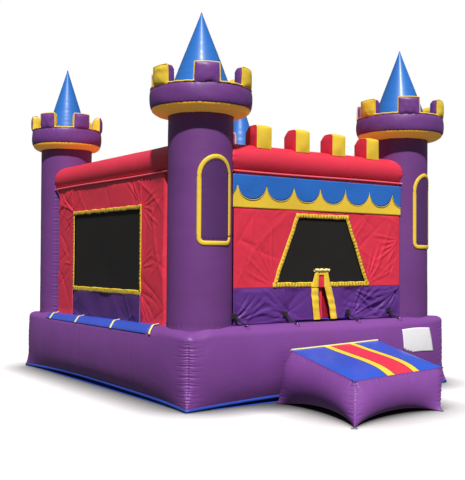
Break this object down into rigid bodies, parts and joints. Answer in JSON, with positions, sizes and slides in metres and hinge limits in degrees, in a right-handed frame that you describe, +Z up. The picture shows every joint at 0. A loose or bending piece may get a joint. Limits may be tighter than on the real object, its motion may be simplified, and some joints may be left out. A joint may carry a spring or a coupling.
{
  "type": "inflatable bounce house",
  "caption": "Castle-shaped inflatable play house: air bed, round corner turrets, mesh windows, slit door with swinging flaps, step.",
  "frame": {"origin": "middle of the air bed's footprint, on the ground under the ground sheet", "axes": "+X to the right along the front, +Y from the front to the back, +Z up"},
  "size_m": [4.254, 6.4951, 4.35],
  "materials": {
    "vinyl_purple": "semi-gloss PVC-coated fabric",
    "vinyl_deep_purple": "semi-gloss PVC-coated fabric",
    "vinyl_red": "semi-gloss PVC-coated fabric",
    "vinyl_yellow": "semi-gloss PVC-coated fabric",
    "vinyl_blue": "glossy PVC-coated fabric",
    "vinyl_navy": "semi-gloss PVC-coated fabric",
    "mesh_black": "woven safety netting",
    "webbing_black": "woven webbing",
    "steel": "plated steel wire"
  },
  "bodies": {
    "house": {"ground_sheet": "vinyl_navy", "base_bed": "vinyl_purple", "floor_baffles": "vinyl_purple", "bounce_floor": "vinyl_navy", "column_front_left": "vinyl_purple", "collar_front_left": "vinyl_yellow", "head_front_left": "vinyl_deep_purple", "spire_front_left": "vinyl_blue", "column_front_right": "vinyl_purple", "collar_front_right": "vinyl_yellow", "head_front_right": "vinyl_deep_purple", "spire_front_right": "vinyl_blue", "column_rear_left": "vinyl_purple", "collar_rear_left": "vinyl_yellow", "head_rear_left": "vinyl_deep_purple", "spire_rear_left": "vinyl_blue", "column_rear_right": "vinyl_purple", "collar_rear_right": "vinyl_yellow", "head_rear_right": "vinyl_deep_purple", "spire_rear_right": "vinyl_blue", "top_beam_front": "vinyl_red", "top_beam_rear": "vinyl_red", "top_beam_left": "vinyl_red", "top_beam_right": "vinyl_red", "beam_merlon_1": "vinyl_yellow", "beam_merlon_2": "vinyl_yellow", "beam_merlon_3": "vinyl_yellow", "beam_merlon_4": "vinyl_yellow", "left_wall": "vinyl_red", "left_window_mesh": "mesh_black", "right_wall": "vinyl_red", "right_window_mesh": "mesh_black", "rear_wall": "vinyl_red", "rear_window_mesh": "mesh_black", "front_wall": "vinyl_red", "front_window_mesh": "mesh_black", "front_banner": "vinyl_yellow", "front_panel_left": "vinyl_purple", "front_panel_right": "vinyl_purple", "door_tab": "vinyl_yellow", "roof_cover": "vinyl_red", "arch_patch_left": "vinyl_deep_purple", "arch_patch_right": "vinyl_deep_purple", "step_body": "vinyl_purple", "step_cover": "vinyl_navy", "ledge_pad_left": "vinyl_navy", "ledge_pad_right": "vinyl_navy", "tie_strap_1": "webbing_black", "tie_strap_2": "webbing_black", "tie_strap_3": "webbing_black", "tie_strap_4": "webbing_black", "inflation_sleeve": "vinyl_purple"},
    "door_flap_left": {"door_flap_left": "vinyl_purple"},
    "door_flap_right": {"door_flap_right": "vinyl_purple"},
    "door_lining": {"door_lining": "vinyl_red"},
    "deflation_flap": {"deflation_flap": "vinyl_purple"},
    "strap_ring_1": {"strap_ring_1": "steel"},
    "strap_ring_2": {"strap_ring_2": "steel"},
    "strap_ring_3": {"strap_ring_3": "steel"},
    "strap_ring_4": {"strap_ring_4": "steel"}
  },
  "joints": [
    {"name": "door_flap_left_swing", "type": "hinge", "parent": "house", "child": "door_flap_left", "pos_m": [-0.42, -2.085, 1.07], "axis": [0, 0, 1], "range_deg": [-80, 0]},
    {"name": "door_flap_right_swing", "type": "hinge", "parent": "house", "child": "door_flap_right", "pos_m": [0.42, -2.085, 1.07], "axis": [0, 0, 1], "range_deg": [0, 80]},
    {"name": "door_lining_swing", "type": "hinge", "parent": "house", "child": "door_lining", "pos_m": [0, -2.06, 1.42], "axis": [1, 0, 0], "range_deg": [0, 75]},
    {"name": "deflation_flap_lift", "type": "hinge", "parent": "house", "child": "deflation_flap", "pos_m": [-1, 2.2583, 0.62], "axis": [1, 0, 0], "range_deg": [0, 120]},
    {"name": "strap_ring_1_flip", "type": "hinge", "parent": "house", "child": "strap_ring_1", "pos_m": [-1.18, -2.194, 0.8649], "axis": [-1, 0, 0], "range_deg": [0, 110]},
    {"name": "strap_ring_2_flip", "type": "hinge", "parent": "house", "child": "strap_ring_2", "pos_m": [-0.48, -2.194, 0.8649], "axis": [-1, 0, 0], "range_deg": [0, 110]},
    {"name": "strap_ring_3_flip", "type": "hinge", "parent": "house", "child": "strap_ring_3", "pos_m": [0.47, -2.194, 0.8649], "axis": [-1, 0, 0], "range_deg": [0, 110]},
    {"name": "strap_ring_4_flip", "type": "hinge", "parent": "house", "child": "strap_ring_4", "pos_m": [1.17, -2.194, 0.8649], "axis": [-1, 0, 0], "range_deg": [0, 110]}
  ]
}
